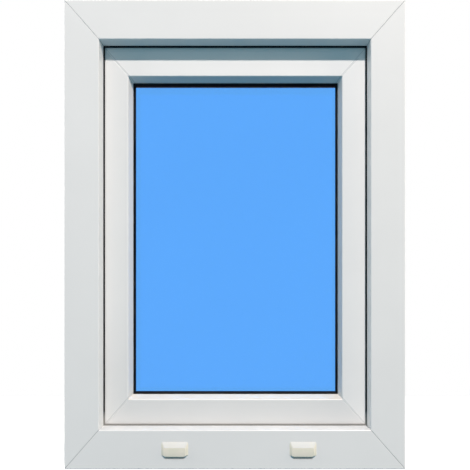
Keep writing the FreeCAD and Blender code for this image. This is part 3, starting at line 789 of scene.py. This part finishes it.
pinLook = {
    "barrelRadius": 8.0 * mm,
    "radius": 5.2 * mm,
    "sides": 36,
    "height": 1.6 * mm,
    "sink": 0.4 * mm,          # how far its foot sits in the barrel
    "socketRim": 2.6 * mm,
    "socketDepth": 1.3 * mm,
    "edgeRound": 0.4 * mm,
    "edgeSteps": 3,
    "edgeAngle": 50,
    "sharpAngle": 40,
    # which end of each hinge part has a head, 1 for the top
    "ends": {"lower_hinge_frame_part": -1, "lower_hinge_sash_part": 1,
             "upper_hinge_frame_part": 1, "upper_hinge_sash_part": -1},
}


def makeHingePin():
    # one pin head at the origin, facing up, with a round socket for the key
    look = pinLook
    pin = startPiece("hingePin", bpy.ops.mesh.primitive_cylinder_add, vertices=look["sides"],
                     radius=look["radius"], depth=look["height"] + look["sink"],
                     location=(0, 0, (look["height"] - look["sink"]) / 2))
    pick(pin, "faces", lambda face, at: facesAlong(face, alongZ, 1))
    pushPicked(look["socketRim"], (0, 0, -look["socketDepth"]))
    bpy.ops.object.mode_set(mode="OBJECT")
    roundEdges(pin, look)
    return pin


def placeHingePins():
    look = pinLook
    pattern = makeHingePin()
    barrelLow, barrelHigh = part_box("lower_hinge_frame_part")
    pinX = barrelLow.x + look["barrelRadius"]
    pinY = barrelHigh.y - look["barrelRadius"]
    for node, way in look["ends"].items():
        low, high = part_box(node)
        pin = bpy.data.objects.new("pin_" + node, pattern.data.copy())
        bpy.context.scene.collection.objects.link(pin)
        bpy.ops.object.select_all(action="DESELECT")
        pin.select_set(True)
        bpy.context.view_layer.objects.active = pin
        pin.rotation_euler = (0 if way > 0 else math.pi, 0, 0)
        pin.location = (pinX, pinY, high.z if way > 0 else low.z)
        bpy.ops.object.transform_apply(location=True, rotation=True, scale=True)
        finishPiece(pin, "pinSteel", look["sharpAngle"])
    bpy.data.objects.remove(pattern)


placeHingePins()
print("hinge pins modelled")


# light, floor and camera

lightLook = {
    "keyAim": (0.0, 0.0, 0.375),
    "keyWay": (0.175, -0.633, 0.754),  # from the window towards the lamp
    "keyDistance": 7.0,
    "keySize": 0.3,
    "keyPower": 526.0,
    "keyColour": (1.0, 0.878, 0.806),
    "fillAbove": (0.068, 0.154, 0.196),
    "fillBelow": (0.098, 0.244, 0.318),
    "fillTurn": (-0.5, 0.5),           # how steeply down and up the fill has changed over
    "roomPower": 62.0,
    "roomColour": (1.0, 0.86, 0.78),
    "roomSize": 2.2,
    "roomPlace": (-0.9, 2.1, 1.75),
    # power and colour
    "sideLight": {"left": (11.0, (1.0, 0.93, 0.87)), "right": (14.3, (1.0, 0.857, 0.680))},
    "sideSize": 0.7,
    "sidePlace": (1.7, -0.27, 0.95),   # on the right, and its mirror on the left
}


def addLamp(name, place, aim, size, power, colour, shape):
    data = bpy.data.lights.new(name, "AREA")
    data.shape = shape
    data.size = size
    data.energy = power
    data.color = colour
    lamp = bpy.data.objects.new(name, data)
    bpy.context.scene.collection.objects.link(lamp)
    lamp.location = place
    lamp.rotation_euler = (Vector(aim) - Vector(place)).to_track_quat("-Z", "Y").to_euler()
    for ray in ("camera", "transmission"):
        setattr(lamp, "visible_" + ray, False)
    return lamp


def lightWindow():
    look = lightLook
    aim = Vector(look["keyAim"])
    keyPlace = aim + Vector(look["keyWay"]).normalized() * look["keyDistance"]
    addLamp("keyLamp", keyPlace, aim, look["keySize"], look["keyPower"], look["keyColour"], "DISK")
    addLamp("roomLamp", look["roomPlace"], aim, look["roomSize"], look["roomPower"], look["roomColour"],
            "SQUARE")
    x, y, z = look["sidePlace"]
    for side, (power, colour) in look["sideLight"].items():
        sidePlace = (x if side == "right" else -x, y, z)
        lamp = addLamp(side + "Lamp", sidePlace, aim, look["sideSize"], power, colour, "SQUARE")
        lamp.visible_glossy = False


def seenMask(tree):
    # 1 where the eye looks, straight on or by mirror and glass, and 0 where a surface gathers light
    beforeBounce = 0.5         # the depth counts 0, 1, 2 and so on
    path = addNode(tree, "ShaderNodeLightPath")
    seen = mathNode(tree, "MAXIMUM", path.outputs["Is Camera Ray"], mathNode(
        tree, "MAXIMUM", path.outputs["Is Glossy Ray"], path.outputs["Is Transmission Ray"]))
    direct = mathNode(tree, "LESS_THAN", path.outputs["Diffuse Depth"], beforeBounce)
    return mathNode(tree, "MULTIPLY", seen, direct)


def makeWorld():
    # white to look at, and a dim fill to be lit by
    look = lightLook
    world = bpy.data.worlds.new("paleRoom")
    bpy.context.scene.world = world
    world.use_nodes = True
    tree = world.node_tree
    tree.nodes.clear()
    way = splitVector(tree, addNode(tree, "ShaderNodeTexCoord").outputs["Generated"])
    blend = addNode(tree, "ShaderNodeMix", {"data_type": "RGBA"}, {
        "A": (*look["fillBelow"], 1), "B": (*look["fillAbove"], 1)})
    tree.links.new(smoothRange(tree, way["Z"], *look["fillTurn"]), blend.inputs["Factor"])
    fill = addNode(tree, "ShaderNodeBackground", values={"Strength": 1.0})
    tree.links.new(blend.outputs["Result"], fill.inputs["Color"])
    white = addNode(tree, "ShaderNodeBackground", values={"Color": (1, 1, 1, 1), "Strength": 1.0})
    mix = addNode(tree, "ShaderNodeMixShader")
    tree.links.new(seenMask(tree), mix.inputs["Fac"])
    tree.links.new(fill.outputs[0], mix.inputs[1])
    tree.links.new(white.outputs[0], mix.inputs[2])
    tree.links.new(mix.outputs[0], addNode(tree, "ShaderNodeOutputWorld").inputs["Surface"])


lightWindow()
makeWorld()
print("lamps and world set")


floorLook = {
    "side": 3.4,
    "backEdge": 0.62,          # how far the floor runs on behind the window
    "tint": (0.80, 0.80, 0.80),
    "roughness": 0.9,
    "lift": 0.42,              # added where the eye looks, so that the open floor is white
}


def makeFloor():
    look = floorLook
    bpy.ops.object.select_all(action="DESELECT")
    bpy.ops.mesh.primitive_plane_add(size=look["side"], location=(0, look["backEdge"] - look["side"] / 2, 0))
    floor = bpy.context.object
    floor.name = "floor"
    bpy.ops.object.transform_apply(location=True, rotation=True, scale=True)
    material, tree, shader = newMaterial("paleFloor")[:3]
    shader.inputs["Base Color"].default_value = (*look["tint"], 1)
    shader.inputs["Roughness"].default_value = look["roughness"]
    shader.inputs["Specular IOR Level"].default_value = 0.0
    glow = addNode(tree, "ShaderNodeEmission", values={"Color": (1, 1, 1, 1)})
    tree.links.new(mathNode(tree, "MULTIPLY", seenMask(tree), look["lift"]), glow.inputs["Strength"])
    both = addNode(tree, "ShaderNodeAddShader")
    tree.links.new(shader.outputs[0], both.inputs[0])
    tree.links.new(glow.outputs[0], both.inputs[1])
    tree.links.new(both.outputs[0], tree.nodes["Material Output"].inputs["Surface"])
    floor.data.materials.append(material)
    for ray in ("diffuse", "glossy", "transmission"):  # these rays meet the even room instead
        setattr(floor, "visible_" + ray, False)
    return floor


makeFloor()
print("floor laid")


cameraLook = {
    "distance": 1.0,           # from the frame's outside face
    "place": (0.030, 0.290),   # across and up
    "viewSize": 0.7513,        # what the picture spans at that face
    "viewCentre": (0.0003, 0.3744),
    "sensor": 36.0,
}


def makeCamera():
    look = cameraLook
    data = bpy.data.cameras.new("photoCamera")
    data.sensor_width = look["sensor"]
    data.lens = look["sensor"] * look["distance"] / look["viewSize"]
    data.shift_x = (look["viewCentre"][0] - look["place"][0]) / look["viewSize"]
    data.shift_y = (look["viewCentre"][1] - look["place"][1]) / look["viewSize"]
    camera = bpy.data.objects.new("photoCamera", data)
    bpy.context.scene.collection.objects.link(camera)
    camera.location = (look["place"][0], outsideFace - look["distance"], look["place"][1])
    camera.rotation_euler = (math.pi / 2, 0, 0)
    bpy.context.scene.camera = camera


makeCamera()
bpy.context.scene.view_settings.view_transform = "Standard"
print("camera set")
